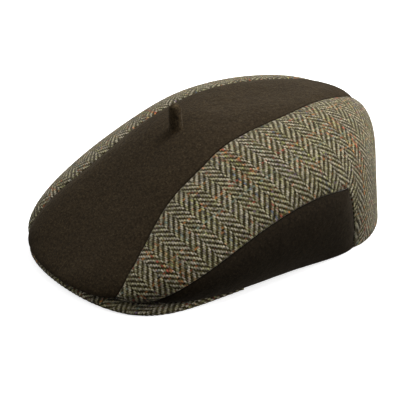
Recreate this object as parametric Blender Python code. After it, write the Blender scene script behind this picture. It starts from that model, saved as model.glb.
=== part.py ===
"""Flat cap in felt and herringbone tweed, in metres with +Z up.

The wearer looks along -Y and the wearer's left side is +X. The crown is one
closed surface of two numbers: an angle round the head, from the front, and a
climb, from the hem (0) to the highest point (1). The panels are cut out of
that surface along seams given in the same two numbers, then given a wall.
"""
import math

import bpy
import numpy as np

# Driving dimensions
HALF_WIDTH = 0.108          # the crown's out shares across the head are of this
HALF_LENGTH = 0.128         # and those along the head are of this
HEIGHT = 0.0962             # crown above the surface the cap rests on
CROWN_Y = 0.0216            # middle of the crown; puts the box of the cap round the origin
APEX_Y = -0.0224            # highest point, from the middle of the crown
HEM_RISE = 0.0064           # how far the hem climbs on to the peak at the front
HEM_LEVEL_ANGLE = 120.0     # the hem lies on the surface from here to the back, degrees
HEM_FRONT_ANGLE = 5.0       # and it has its full rise up to here
STANDING_ANGLE = 98.0       # the wall starts to turn level at the hem here, degrees
STANDING_SPREAD = 14.0      # and is level this much further back
STANDING_CLIMB = 0.08       # up to this climb
CALM_CLIMB = 0.12           # dents fade to nothing at the hem below this climb
WALL = 0.0020               # felt and tweed alike
SEAM_GAP = 0.0003           # between neighbouring panels
SEAM_DIP = 0.0014           # how far the cloth dips into a seam
SEAM_SPREAD = 0.0060        # distance over which the dip fades
PEAK_THICKNESS = 0.0036
PEAK_HALF_WIDTH = 0.0830
PEAK_REACH = 0.0972         # outer edge, ahead of the peak's two ends
PEAK_ENDS_Y = -0.0550       # the peak's ends, from the middle of the crown
PEAK_SQUARE = 0.42          # power of the outer edge's plan, 1 is an ellipse
PEAK_LIFT = 0.0020          # underside of the outer edge at the front
PEAK_LEVEL_ANGLE = 62.0     # the outer edge lies on the surface beyond this, degrees
PEAK_INNER_HALF_WIDTH = 0.0770
PEAK_INNER_REACH = 0.0440
PEAK_INNER_RISE = 0.0060    # the inner edge, above the hem
PEAK_CLEARANCE = 0.0004     # between the peak and the hem that rests on it
PEAK_MARGIN = 0.0015        # the peak is level this far past the hem's wall
PEAK_FULL_WIDTH = 0.020     # the peak has its full inner rise where it is wider than this
STEM_DIAMETER = 0.0092
STEM_HEIGHT = 0.0192
STEM_CLIMB = 0.871          # where the stem stands on the centre line
STEM_TURN = 0.35            # share of its height over which it turns upright
EAR_POINT = 0.008           # climb at the blunt front end of an ear panel
TURN_SHARE = 0.80           # out share of the hem at the back, for the gap there

# The crown, a row per angle; out is a share of the half width and half length, up of the height
CROWN = (
    # angle, hem out, belt out, belt up, shoulder out, shoulder up, roof out
    (0.0, 1.14, 1.24, 0.075, 0.94, 0.126, 0.43),
    (30.0, 1.13, 1.29, 0.160, 0.98, 0.240, 0.42),
    (60.0, 0.915, 1.14, 0.315, 0.98, 0.542, 0.43),
    (90.0, 0.78, 1.00, 0.452, 0.92, 0.797, 0.47),
    (120.0, 0.84, 0.93, 0.481, 0.97, 1.015, 0.49),
    (150.0, 0.83, 0.90, 0.498, 1.07, 1.085, 0.53),
    (180.0, 0.82, 0.95, 0.531, 1.21, 1.010, 0.58),
)
# Seam between the top panel and a side panel, out to the centre back
TOP_SEAM = (
    # angle, climb
    (24.0, 0.00),
    (28.0, 0.25),
    (31.0, 0.42),
    (37.0, 0.62),
    (54.0, 0.73),
    (90.0, 0.80),
    (130.0, 0.76),
    (160.0, 0.65),
    (172.0, 0.50),
    (180.0, 0.38),
)
# Seam between a side panel and an ear panel; the ear panel's back edge drops from its last row
EAR_SEAM = (
    # angle, climb
    (33.0, 0.00),
    (41.0, 0.13),
    (51.0, 0.235),
    (64.0, 0.31),
    (80.0, 0.35),
    (97.0, 0.35),
    (113.0, 0.30),
)
# Soft dents (depth over 0) and fullness (under 0), depth as a share of the height
DENTS = (
    # angle, climb, spread of angle, spread of climb, depth
    (-70.0, 0.60, 28.0, 0.20, 0.027),
    (-30.0, 0.42, 16.0, 0.25, -0.036),
    (-126.0, 0.66, 28.0, 0.11, 0.036),
    (150.0, 0.22, 14.0, 0.16, 0.012),
    (-142.0, 0.26, 16.0, 0.18, 0.014),
)
# Section of the peak's outer edge, shares of its thickness
PEAK_EDGE = (
    # inward, up
    (0.50, 0.00),
    (0.16, 0.12),
    (0.00, 0.42),
    (0.04, 0.68),
    (0.22, 0.92),
    (0.60, 1.00),
)
# The stem, height as a share of its height and radius as a share of its diameter
STEM = (
    # height, radius
    (0.000, 0.60),
    (0.045, 0.58),
    (0.130, 0.53),
    (0.300, 0.50),
    (0.560, 0.49),
    (0.800, 0.47),
    (0.920, 0.39),
    (0.985, 0.22),
)

# How finely the solids are faceted
EAR_POINTS = 24
EAR_BACK_POINTS = 7
BACK_HEM_POINTS = 12
FRONT_POINTS = 5
TOP_RINGS = 12
SIDE_ROWS = 12
CROWDING = 1.25             # power that draws points to the front
CORNER_SHARE = 0.68         # share of the top seam above an ear panel's back corner
PEAK_SECTIONS = 45
PEAK_STATIONS = (0.06, 0.13, 0.23, 0.42, 0.70, 1.0)
STEM_SIDES = 16
SEAM_SAMPLES = 400          # points along a seam's path
DIP_SAMPLES = 120           # points of it that the dip is measured from
CLIMB_WEIGHT = 1.5          # a climb counts this many times an angle along a seam's path
PLAN_SAMPLES = 721          # points along the peak's edges before they are evenly spaced
WIDTH_SAMPLES = 241         # tries for the hem's wall across the peak
TINY = 1e-6                 # keeps a division by a length sensible

FELT_TOP = (0.040, 0.031, 0.022)
FELT_EAR = (0.026, 0.020, 0.014)
TWEED = (0.200, 0.170, 0.125)


def unit(vectors):
    """The vectors at length one."""
    return vectors / np.linalg.norm(vectors, axis=-1, keepdims=True)


def smooth(share):
    """An even step from 0 to 1."""
    share = np.clip(share, 0.0, 1.0)
    return share * share * (3.0 - 2.0 * share)


def turn_from_front(theta):
    """Angle from the front without its sign, degrees."""
    return np.abs((np.degrees(theta) + 180.0) % 360.0 - 180.0)


def round_head(column, theta):
    """One column of the crown rows at any angle, as a sum of cosines through every row."""
    rows = np.array(CROWN)
    angles = np.radians(rows[:, 0])
    order = np.arange(len(angles))
    weights = np.linalg.solve(np.cos(np.outer(angles, order)), rows[:, column])
    return np.cos(np.multiply.outer(theta, order)) @ weights


def hem_height(theta):
    """Height of the hem: level at the back and sides, climbing on to the peak."""
    level = HEM_LEVEL_ANGLE - turn_from_front(theta)
    return HEM_RISE * smooth(level / (HEM_LEVEL_ANGLE - HEM_FRONT_ANGLE))


def crown(theta, climb):
    """The crown without dents: each angle is a five point Bezier curve from hem to apex."""
    theta, climb = np.broadcast_arrays(np.asarray(theta, float), np.asarray(climb, float))
    hem_out, belt_out, belt_up, shoulder_out, shoulder_up, roof_out = (
        round_head(column, theta) for column in range(1, 7))
    rest = 1.0 - climb
    hem = rest ** 4
    belt = 4.0 * climb * rest ** 3
    shoulder = 6.0 * climb ** 2 * rest ** 2
    roof = 4.0 * climb ** 3 * rest
    out = hem * hem_out + belt * belt_out + shoulder * shoulder_out + roof * roof_out
    up = belt * belt_up + shoulder * shoulder_up + roof + climb ** 4
    x = out * HALF_WIDTH * np.sin(theta)
    y = CROWN_Y + APEX_Y * (1.0 - rest ** 2) - out * HALF_LENGTH * np.cos(theta)
    return np.stack([x, y, up * HEIGHT + hem * hem_height(theta)], -1)


def slopes(theta, climb):
    """How the crown moves with the angle and with the climb."""
    step = 1e-4
    along = (crown(theta + step, climb) - crown(theta - step, climb)) / (2.0 * step)
    upward = (crown(theta, climb + step) - crown(theta, climb - step)) / (2.0 * step)
    return along, upward


def outward(theta, climb):
    """Unit normal of the crown, straight up at the apex."""
    along, upward = slopes(theta, np.minimum(climb, 0.99))
    return unit(np.cross(along, upward))


def dented(theta, climb):
    """The crown with its dents and fullness."""
    turn = np.degrees(theta)
    depth = np.zeros(np.broadcast(theta, climb).shape)
    for angle, height, angle_spread, climb_spread, share in DENTS:
        away = (turn - angle + 180.0) % 360.0 - 180.0
        near = np.exp(-(away / angle_spread) ** 2 - ((climb - height) / climb_spread) ** 2)
        depth += share * HEIGHT * near * smooth(climb / CALM_CLIMB)
    return crown(theta, climb) - outward(theta, climb) * depth[..., None]


def lengths(path):
    """How far along the crown each place of a path of angle and climb is."""
    return np.concatenate([[0.0], np.cumsum(np.linalg.norm(np.diff(crown(*path.T), axis=0), axis=1))])


def spaced(path, shares, values=None):
    """The places at shares of the way along a path, or the values that go with them."""
    length = lengths(path)
    return np.stack([np.interp(shares * length[-1], length, column)
                     for column in (path if values is None else values).T], -1)


def even_shares(count):
    """Shares from 0 to 1 in equal steps."""
    return np.linspace(0.0, 1.0, count)


def seam(rows):
    """A fine smooth path through the rows, in radians and climb."""
    rows = np.array(rows) * (math.pi / 180.0, 1.0)
    steps = np.hypot(np.diff(rows[:, 0]), CLIMB_WEIGHT * np.diff(rows[:, 1]))
    knots = np.concatenate([[0.0], np.cumsum(steps)])
    slope = np.gradient(rows, knots, axis=0)
    place = np.linspace(0.0, knots[-1], SEAM_SAMPLES)
    piece = np.clip(np.searchsorted(knots, place, side="right") - 1, 0, len(steps) - 1)
    width = steps[piece][:, None]
    t = (place[:, None] - knots[piece][:, None]) / width
    return ((2 * t ** 3 - 3 * t ** 2 + 1) * rows[piece] + (t ** 3 - 2 * t ** 2 + t) * width * slope[piece]
            + (3 * t ** 2 - 2 * t ** 3) * rows[piece + 1] + (t ** 3 - t ** 2) * width * slope[piece + 1])


def aside(path, shares, distance):
    """Places along a path, moved over the crown to its left as seen from outside."""
    along, upward = slopes(*path.T)
    run = np.gradient(crown(*path.T), axis=0)
    left = unit(np.cross(np.cross(along, upward), run)) * distance
    aa, au, uu = ((p * q).sum(-1) for p, q in ((along, along), (along, upward), (upward, upward)))
    a = (along * left).sum(-1)
    u = (upward * left).sum(-1)
    moved = path + np.stack([a * uu - u * au, u * aa - a * au], -1) / (aa * uu - au ** 2)[:, None]
    return spaced(path, shares, moved)


def slid_on(path, column, limit):
    """The path with its first point slid along its first step to a limit of angle or climb."""
    path = path.copy()
    step = path[0] - path[1]
    path[0] = path[1] + step * ((limit - path[1, column]) / step[column])
    return path


def straight(start, end, count=60):
    """A path straight between two places, evenly spaced."""
    return np.array(start) + even_shares(count)[:, None] * (np.array(end) - start)


def dip(points, edges):
    """How far the cloth sinks near the seams, from its distance to them."""
    near = np.full(points.shape[:-1], np.inf)
    for edge in edges:
        for place in edge:
            near = np.minimum(near, np.linalg.norm(points - place, axis=-1))
    return SEAM_DIP * np.exp(-(near / SEAM_SPREAD) ** 1.5)


def wall_direction(theta, climb):
    """The normal, made level at the hem where the cap stands on it."""
    standing = smooth((turn_from_front(theta) - STANDING_ANGLE) / STANDING_SPREAD)
    standing = standing * (1.0 - smooth(climb / STANDING_CLIMB))
    normal = outward(theta, climb)
    normal[..., 2] *= 1.0 - standing
    return unit(normal)


def cloth(theta, climb, seams):
    """Outer and inner points of a wall of cloth over places on the crown."""
    outer = dented(theta, climb)
    through = wall_direction(theta, climb)
    outer = outer - through * dip(outer, [dented(*line.T) for line in seams])[..., None]
    return outer, outer - through * WALL


def grid_faces(rows, columns, start=0, closed=False):
    """Triangles over a grid of points numbered row by row."""
    faces = []
    for i in range(rows - 1):
        for j in range(columns if closed else columns - 1):
            a = start + i * columns + j
            b = start + i * columns + (j + 1) % columns
            faces += [(a, b, b + columns), (a, b + columns, a + columns)]
    return faces


def ring_faces(points, outer, inner):
    """Triangles between two loops of equal length.

    The diagonal starts at the outer point that is lower and further forward, so that the
    walls on the two sides of a seam are cut alike.
    """
    faces = []
    order = points @ (0.0, 1.0, 2.0)
    for k in range(len(outer)):
        a, b, c, d = outer[k], inner[k], inner[(k + 1) % len(outer)], outer[(k + 1) % len(outer)]
        if order[a] < order[d]:
            faces += [(a, b, c), (a, c, d)]
        else:
            faces += [(a, b, d), (b, c, d)]
    return faces


def make(name, points, faces, colour):
    """A closed object of the points and faces with a plain material of its own."""
    mesh = bpy.data.meshes.new(name)
    mesh.from_pydata([tuple(point) for point in points], [], faces)
    material = bpy.data.materials.new(name)
    material.use_nodes = True
    shader = material.node_tree.nodes["Principled BSDF"]
    shader.inputs["Base Color"].default_value = (*colour, 1.0)
    shader.inputs["Roughness"].default_value = 0.95
    mesh.materials.append(material)
    thing = bpy.data.objects.new(name, mesh)
    bpy.context.scene.collection.objects.link(thing)


def top_seam():
    """The seam between the top panel and a side panel, on the wearer's left."""
    return seam(TOP_SEAM)


def ear_seam():
    """The seam over the left ear panel."""
    return seam(EAR_SEAM)


def ear_back():
    """The ear panel's back edge, from the seam straight down to the hem."""
    corner = ear_seam()[-1]
    return straight(corner, (corner[0], 0.0))


def centre_back():
    """The seam between the side panels, from the hem up to the tip of the top panel."""
    return straight((math.pi, 0.0), (math.pi, TOP_SEAM[-1][1]))


def ear_shares():
    """Shares of the way along the ear seam, closer together at the front."""
    return even_shares(EAR_POINTS) ** CROWDING


def column_shares():
    """Shares of the way along the top seam at each column of a side panel.

    Columns from the ear seam end before the corner's share of it. Those from the ear's back
    edge and from the hem end after it.
    """
    hem = straight(ear_back()[-1], (math.pi, 0.0))
    whole = [np.zeros(1)]
    for path, shares in ((ear_seam(), ear_shares()), (ear_back(), even_shares(EAR_BACK_POINTS)),
                         (hem, even_shares(BACK_HEM_POINTS))):
        whole.append(whole[-1][-1] + shares[1:] * lengths(path)[-1])
    corner = whole[1][-1]
    whole = np.concatenate(whole)
    return np.interp(whole, (0.0, corner, whole[-1]), (0.0, CORNER_SHARE, 1.0))


def ear_outline(distance):
    """The seam over the ear panel and its back edge, moved aside and meeting in a corner."""
    over = aside(ear_seam(), ear_shares(), distance)
    drop = aside(ear_back(), even_shares(EAR_BACK_POINTS), distance)
    corner = over[-1] + drop[0] - ear_seam()[-1]
    over[-1] = corner
    drop[0] = corner
    drop[-1, 1] = 0.0
    return over, drop


def panel(name, lower, upper, share, side, seams, colour):
    """A panel ruled between two paths from front to back, on the left (1) or the right (-1)."""
    rows = len(share)
    share = share[:, None, None]
    places = (lower + share * (upper - lower)) * (side, 1.0)
    lines = [spaced(line, even_shares(DIP_SAMPLES)) * (side, 1.0) for line in seams]
    outer, inner = cloth(places[..., 0], places[..., 1], lines)
    count = len(lower)
    whole = rows * count
    faces = grid_faces(rows, count)
    faces += [tuple(whole + k for k in reversed(face)) for face in faces]
    loop = list(range(count))
    loop += [i * count + count - 1 for i in range(1, rows)]
    loop += [(rows - 1) * count + j for j in range(count - 2, -1, -1)]
    loop += [i * count for i in range(rows - 2, 0, -1)]
    points = np.concatenate([outer.reshape(-1, 3), inner.reshape(-1, 3)])
    faces += ring_faces(points, loop, [whole + k for k in loop])
    if side < 0:
        faces = [tuple(reversed(face)) for face in faces]
    make(name, points, faces, colour)


def side_panel(name, side):
    """A tweed panel from the hem at the front, over the ear panel and round to the centre back."""
    back = math.pi - SEAM_GAP / 2 / (TURN_SHARE * HALF_WIDTH)
    upper = slid_on(aside(top_seam(), column_shares(), -SEAM_GAP / 2), 1, 0.0)
    upper = slid_on(upper[::-1], 0, back)[::-1]
    over, drop = ear_outline(SEAM_GAP / 2)
    hem = straight(drop[-1], (back, 0.0), BACK_HEM_POINTS)
    lower = np.concatenate([slid_on(over, 1, 0.0), drop[1:], hem[1:]])
    seams = [top_seam(), ear_seam(), ear_back(), centre_back()]
    panel(name, lower, upper, even_shares(SIDE_ROWS), side, seams, TWEED)


def ear_panel(name, side):
    """A felt panel along the hem, from a point at the front to an upright edge behind the ear."""
    over, drop = ear_outline(-SEAM_GAP / 2)
    upper = slid_on(over, 1, EAR_POINT)
    lower = spaced(straight((upper[0, 0], 0.0), drop[-1]), ear_shares())
    panel(name, lower, upper, drop[::-1, 1] / drop[0, 1], side, [ear_seam(), ear_back()], FELT_EAR)


def top_panel(name):
    """The leaf shaped felt panel over the top: rings from its edge in to the apex."""
    path = slid_on(aside(top_seam(), column_shares(), SEAM_GAP / 2), 1, 0.0)
    path = slid_on(path[::-1], 0, math.pi)[::-1]
    hem = straight((0.0, 0.0), path[0], FRONT_POINTS)
    half = np.concatenate([hem[:-1], path])
    edge = np.concatenate([half, half[-2:0:-1] * (-1.0, 1.0)])
    count = len(edge)
    share = even_shares(TOP_RINGS + 1)[:-1, None] ** CROWDING
    climb = np.append(edge[:, 1] + share * (1.0 - edge[:, 1]), 1.0)
    theta = np.append(np.tile(edge[:, 0], TOP_RINGS), 0.0)
    line = spaced(top_seam(), even_shares(DIP_SAMPLES))
    outer, inner = cloth(theta, climb, [line * (side, 1.0) for side in (1.0, -1.0)])
    apex = TOP_RINGS * count
    faces = grid_faces(TOP_RINGS, count, closed=True)
    faces += [(apex - count + k, apex - count + (k + 1) % count, apex) for k in range(count)]
    faces += [tuple(apex + 1 + k for k in reversed(face)) for face in faces]
    points = np.concatenate([outer, inner])
    faces += ring_faces(points, list(range(count)), [apex + 1 + k for k in range(count)])
    make(name, points, faces, FELT_TOP)


def peak_plan(phi):
    """Outer and inner edges of the peak in plan, by angle from the front."""
    outer = np.stack([PEAK_HALF_WIDTH * np.sin(phi),
                      CROWN_Y + PEAK_ENDS_Y - PEAK_REACH * np.abs(np.cos(phi)) ** PEAK_SQUARE], -1)
    inner = np.stack([PEAK_INNER_HALF_WIDTH * np.sin(phi),
                      CROWN_Y + PEAK_ENDS_Y + PEAK_THICKNESS - PEAK_INNER_REACH * np.cos(phi)], -1)
    return outer, inner


def even(points, values, count):
    """Points evenly spaced along a plane line, with the value that goes with each."""
    length = np.concatenate([[0.0], np.cumsum(np.linalg.norm(np.diff(points, axis=0), axis=1))])
    places = np.linspace(0.0, length[-1], count)
    spread = np.stack([np.interp(places, length, column) for column in points.T], -1)
    return spread, np.interp(places, length, values)


def head_polar(points):
    """Angle round the head and share of the half sizes, of points in plan."""
    across = points[..., 0] / HALF_WIDTH
    ahead = (CROWN_Y - points[..., 1]) / HALF_LENGTH
    return np.arctan2(across, ahead), np.hypot(across, ahead)


def peak_top(outer, inner, lift, thick, place):
    """Height of the peak's upper side at a distance in from its outer edge.

    It rises straight to the hem, is level under the hem's wall and rises inside the crown.
    """
    across = unit(inner - outer)
    width = np.linalg.norm(inner - outer, axis=-1)
    tries = even_shares(WIDTH_SAMPLES)[None] * width[:, None]
    theta, share = head_polar(outer[:, None] + across[:, None] * tries[..., None])
    hem_share = round_head(1, theta)
    margin = PEAK_MARGIN / HALF_LENGTH
    first = (tries * (share > hem_share + margin)).max(1)
    last = (tries * (share > hem_share - (WALL / HALF_WIDTH + margin))).max(1)
    theta, _ = head_polar(outer + across * place[:, None])
    level = hem_height(theta) - PEAK_CLEARANCE
    reach = np.clip(place / np.maximum(first, TINY), 0.0, 1.0)
    inward = np.clip((place - last) / np.maximum(width - last, TINY), 0.0, 1.0)
    rise = PEAK_INNER_RISE * smooth(width / PEAK_FULL_WIDTH) * inward ** 1.5
    return (lift + thick) * (1.0 - reach) + level * reach + rise


def peak(name):
    """The stiff tweed peak: a plate between two curved edges, with a rounded outer edge."""
    phi = np.linspace(-math.pi / 2, math.pi / 2, PLAN_SAMPLES)
    plan_outer, plan_inner = peak_plan(phi)
    outer, angle = even(plan_outer, phi, PEAK_SECTIONS)
    inner, _ = even(plan_inner, phi, PEAK_SECTIONS)
    across = unit(inner - outer)
    width = np.linalg.norm(inner - outer, axis=-1)
    lift = PEAK_LIFT * smooth(1.0 - np.abs(np.degrees(angle)) / PEAK_LEVEL_ANGLE)
    theta, _ = head_polar(outer)
    thick = np.minimum(PEAK_THICKNESS, hem_height(theta) - PEAK_CLEARANCE - lift)
    under = PEAK_EDGE[0][0] * thick
    above = PEAK_EDGE[-1][0] * thick
    loop = []
    for share in PEAK_STATIONS[::-1]:
        place = under + share * (width - under)
        loop.append((place, peak_top(outer, inner, lift, thick, place) - thick))
    for inward, up in PEAK_EDGE:
        loop.append((inward * thick, lift + up * thick))
    for share in PEAK_STATIONS:
        place = above + share * (width - above)
        loop.append((place, peak_top(outer, inner, lift, thick, place)))
    points = np.stack([np.concatenate([outer + across * place[:, None], height[:, None]], -1)
                       for place, height in loop], 1)
    count = len(loop)
    faces = [tuple(reversed(face)) for face in grid_faces(PEAK_SECTIONS, count, closed=True)]
    last = (PEAK_SECTIONS - 1) * count
    faces += [tuple(range(count)), tuple(range(last + count - 1, last - 1, -1))]
    make(name, points.reshape(-1, 3), faces, TWEED)


def stem(name):
    """The stem on the centre line: rings that start square to the cloth and turn upright."""
    base = dented(np.array([0.0]), np.array([STEM_CLIMB]))[0]
    normal = outward(np.array([0.0]), np.array([STEM_CLIMB]))[0]
    turn = np.arange(STEM_SIDES) * (2.0 * math.pi / STEM_SIDES)
    rings = []
    for height, radius in STEM:
        lean = smooth(height / STEM_TURN)
        axis = unit(normal * (1.0 - lean) + np.array([0.0, 0.0, lean]))
        ahead = unit(np.cross((1.0, 0.0, 0.0), axis))
        across = np.cross(ahead, axis)
        middle = base + normal * SEAM_GAP + np.array([0.0, 0.0, height * STEM_HEIGHT])
        ring = np.cos(turn)[:, None] * across + np.sin(turn)[:, None] * ahead
        rings.append(middle - ring * (radius * STEM_DIAMETER))
    faces = grid_faces(len(STEM), STEM_SIDES, closed=True)
    last = (len(STEM) - 1) * STEM_SIDES
    faces += [tuple(range(STEM_SIDES - 1, -1, -1)), tuple(range(last, last + STEM_SIDES))]
    make(name, np.concatenate(rings), faces, FELT_TOP)


def build():
    """Remove what is there and make the cap's seven sub-parts."""
    for thing in list(bpy.data.objects):
        bpy.data.objects.remove(thing, do_unlink=True)
    top_panel("top_panel")
    side_panel("side_panel_left", 1)
    side_panel("side_panel_right", -1)
    ear_panel("ear_panel_left", 1)
    ear_panel("ear_panel_right", -1)
    peak("peak")
    stem("stem")


if __name__ == "__main__":
    build()
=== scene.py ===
"""Looks of a flat cap in felt and herringbone tweed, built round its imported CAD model.

Metres, +Z up; the wearer looks along -Y and the wearer's left side is +X. The file is laid
out as an add-on and run as a script: each operator makes one piece or a pair of pieces.
Every surface is a function of two numbers worked out on a grid with numpy.
"""
import math
from collections import namedtuple

import bpy
import numpy as np
from mathutils import Matrix, Vector


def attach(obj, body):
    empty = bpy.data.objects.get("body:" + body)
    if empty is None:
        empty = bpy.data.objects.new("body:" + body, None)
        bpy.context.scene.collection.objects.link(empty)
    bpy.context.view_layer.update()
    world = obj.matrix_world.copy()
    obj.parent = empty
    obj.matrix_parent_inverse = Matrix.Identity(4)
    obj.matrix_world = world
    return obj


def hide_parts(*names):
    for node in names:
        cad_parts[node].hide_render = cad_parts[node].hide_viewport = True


bl_info = {
    "name": "Flat cap looks",
    "version": (1, 0, 0),
    "blender": (4, 5, 0),
    "location": "3D View > Sidebar > Flat cap",
    "description": "Felt and herringbone tweed pieces of a flat cap round its CAD model",
    "category": "Object",
}

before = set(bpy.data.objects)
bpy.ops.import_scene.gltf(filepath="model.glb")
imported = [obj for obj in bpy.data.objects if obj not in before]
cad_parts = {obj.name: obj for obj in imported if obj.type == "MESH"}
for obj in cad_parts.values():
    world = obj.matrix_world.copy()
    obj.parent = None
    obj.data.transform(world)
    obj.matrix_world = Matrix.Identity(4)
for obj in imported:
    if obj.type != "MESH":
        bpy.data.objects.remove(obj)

# The crown, as in the CAD source: a closed surface of an angle round the head and a climb
HALF_WIDTH = 0.108  # the crown's out shares across the head are of this
HALF_LENGTH = 0.128  # and those along the head are of this
HEIGHT = 0.0962  # crown above the surface the cap rests on
CROWN_Y = 0.0216  # middle of the crown
APEX_Y = -0.0224  # highest point, from the middle of the crown
HEM_RISE = 0.0064  # how far the hem climbs on to the peak at the front
HEM_LEVEL_ANGLE = 120.0  # the hem lies on the surface from here to the back, degrees
HEM_FRONT_ANGLE = 5.0  # and it has its full rise up to here
STANDING_ANGLE = 98.0  # the wall starts to turn level at the hem here, degrees
STANDING_SPREAD = 14.0
STANDING_CLIMB = 0.08  # up to this climb
CALM_CLIMB = 0.12  # dents fade to nothing at the hem below this climb
SEAM_GAP = 0.0003  # between neighbouring panels
TURN_SHARE = 0.80  # out share at the centre back, for the width of the gap there
NEAR_APEX = 0.99  # the normal is worked out up to this climb
EAR_POINT = 0.008  # climb at the blunt front end of an ear panel
CORNER_SHARE = 0.68  # share of the top seam above an ear panel's back corner
SEAM_SAMPLES = 400  # points along a seam's path
STRAIGHT_SAMPLES = 60  # and along a straight one
CLIMB_WEIGHT = 1.5  # a climb counts this many times an angle along a seam's path
DIP_POWER = 1.5  # of the distance, in the dip along a seam
TINY = 1e-6  # keeps a division from being by nought
FAINT = 1e-15  # and the normal of a closed up end from having no length
CROWN = (
    # angle, hem out, belt out, belt up, shoulder out, shoulder up, roof out
    (0.0, 1.14, 1.24, 0.075, 0.94, 0.126, 0.43),
    (30.0, 1.13, 1.29, 0.160, 0.98, 0.240, 0.42),
    (60.0, 0.915, 1.14, 0.315, 0.98, 0.542, 0.43),
    (90.0, 0.78, 1.00, 0.452, 0.92, 0.797, 0.47),
    (120.0, 0.84, 0.93, 0.481, 0.97, 1.015, 0.49),
    (150.0, 0.83, 0.90, 0.498, 1.07, 1.085, 0.53),
    (180.0, 0.82, 0.95, 0.531, 1.21, 1.010, 0.58),
)
TOP_SEAM = (
    # angle, climb
    (24.0, 0.00), (28.0, 0.25), (31.0, 0.42), (37.0, 0.62), (54.0, 0.73),
    (90.0, 0.80), (130.0, 0.76), (160.0, 0.65), (172.0, 0.50), (180.0, 0.38),
)
EAR_SEAM = (
    # angle, climb
    (33.0, 0.00), (41.0, 0.13), (51.0, 0.235), (64.0, 0.31), (80.0, 0.35), (97.0, 0.35),
    (113.0, 0.30),
)
DENTS = (
    # angle, climb, spread of angle, spread of climb, depth
    (-70.0, 0.60, 28.0, 0.20, 0.027),
    (-30.0, 0.42, 16.0, 0.25, -0.036),
    (-126.0, 0.66, 28.0, 0.11, 0.036),
    (150.0, 0.22, 14.0, 0.16, 0.012),
    (-142.0, 0.26, 16.0, 0.18, 0.014),
)

# The peak, as in the CAD source
PEAK_THICKNESS = 0.0036
PEAK_HALF_WIDTH = 0.0830
PEAK_REACH = 0.0972  # outer edge, ahead of the peak's two ends
PEAK_ENDS_Y = -0.0550  # the peak's ends, from the middle of the crown
PEAK_SQUARE = 0.42  # power of the outer edge's plan, 1 is an ellipse
PEAK_LIFT = 0.0020  # underside of the outer edge at the front
PEAK_LEVEL_ANGLE = 62.0  # the outer edge lies on the surface beyond this, degrees
PEAK_INNER_HALF_WIDTH = 0.0770
PEAK_INNER_REACH = 0.0440
PEAK_INNER_RISE = 0.0060
PEAK_RISE_POWER = 1.5
PEAK_FULL_WIDTH = 0.0200  # the inner edge has its full rise where the peak is this wide
PEAK_CLEARANCE = 0.0004  # between the peak and the hem that rests on it
PEAK_MARGIN = 0.0015  # the peak follows the hem this far past its wall
PEAK_EDGE = (
    # inward, up
    (0.50, 0.00), (0.16, 0.12), (0.00, 0.42), (0.04, 0.68), (0.22, 0.92), (0.60, 1.00),
)

# The stem, as in the CAD source
STEM_DIAMETER = 0.0092
STEM_HEIGHT = 0.0192
STEM_CLIMB = 0.871  # where the stem stands on the centre line
STEM_TURN = 0.35  # share of its height over which it turns upright
STEM_SINK = 0.0009  # how far its foot goes into the felt
STEM = (
    # height, radius
    (0.000, 0.72), (0.030, 0.65), (0.080, 0.58), (0.160, 0.53), (0.300, 0.50), (0.560, 0.49),
    (0.800, 0.47), (0.920, 0.39), (0.975, 0.26), (0.998, 0.10),
)

# How finely the pieces are worked out
EDGE_ROWS = (0.0, 0.00010, 0.00030)  # extra rows this far from an edge
INNER_ROWS = 14
TOP_RINGS = 112  # of the top panel's outer side, from its edge to the apex
TOP_INNER_RINGS = 24
TOP_RUN = 0.055  # how far the rings lie from the edge at most, about
TOP_SEAM_POINTS = 300
TOP_HEM_POINTS = 46
SIDE_ROWS = 132
SIDE_RUN = 0.080  # a side panel's way from the ear seam to the top seam, about
EAR_ROWS = 56
EAR_RUN = 0.030
EAR_GRID = 0.0007
PEAK_COLUMNS = 460
PEAK_STATIONS = 56
PEAK_CROWDING = 1.15  # power that crowds the stations at the outer edge
PEAK_EDGE_POINTS = 15
PEAK_PLAN_SAMPLES = 2881
PEAK_HEM_SAMPLES = 481  # places tried for where the hem's wall lies on the peak
CHUNK = 100  # seam points measured against at a time
NOISE_CELLS = 24  # size of the lattices of soft noise
FLAT_ROWS = 20  # size of the net that is laid flat for the weave
FLAT_COLUMNS = 72
FLAT_ROUNDS = 250
TWILL = 4  # yarns in one repeat of the twill
STEM_SIDES = 64
STEM_RINGS = 60

# Relief of the cloth
RIB_FADE = 0.0012  # the tweed's ribs fade out this close to an edge
NAP_FADE = 0.0020  # and the felt's unevenness this close
PEAK_RIB_SHARE = 0.8  # the ribs are flatter where the tweed is stretched over the peak
PEAK_RIB_FADE = 0.0030
FELT_LUMPS = (
    # size, height as a multiple of the nap, seed
    (0.0021, 1.0, 11), (0.0090, 1.8, 12), (0.0260, 2.6, 13),
)
STEM_LUMPS = ((0.0035, 3.0, 21), (0.0012, 1.0, 22))

# How the tweed was cut
WEAVE_TURN = -7.0  # the panel's length lies this far off the weft, degrees
WEAVE_SHIFT = (0.00157, 0.0)
WEAVE_SKEW = 0.13  # the weft climbs by this share of its run

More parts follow.
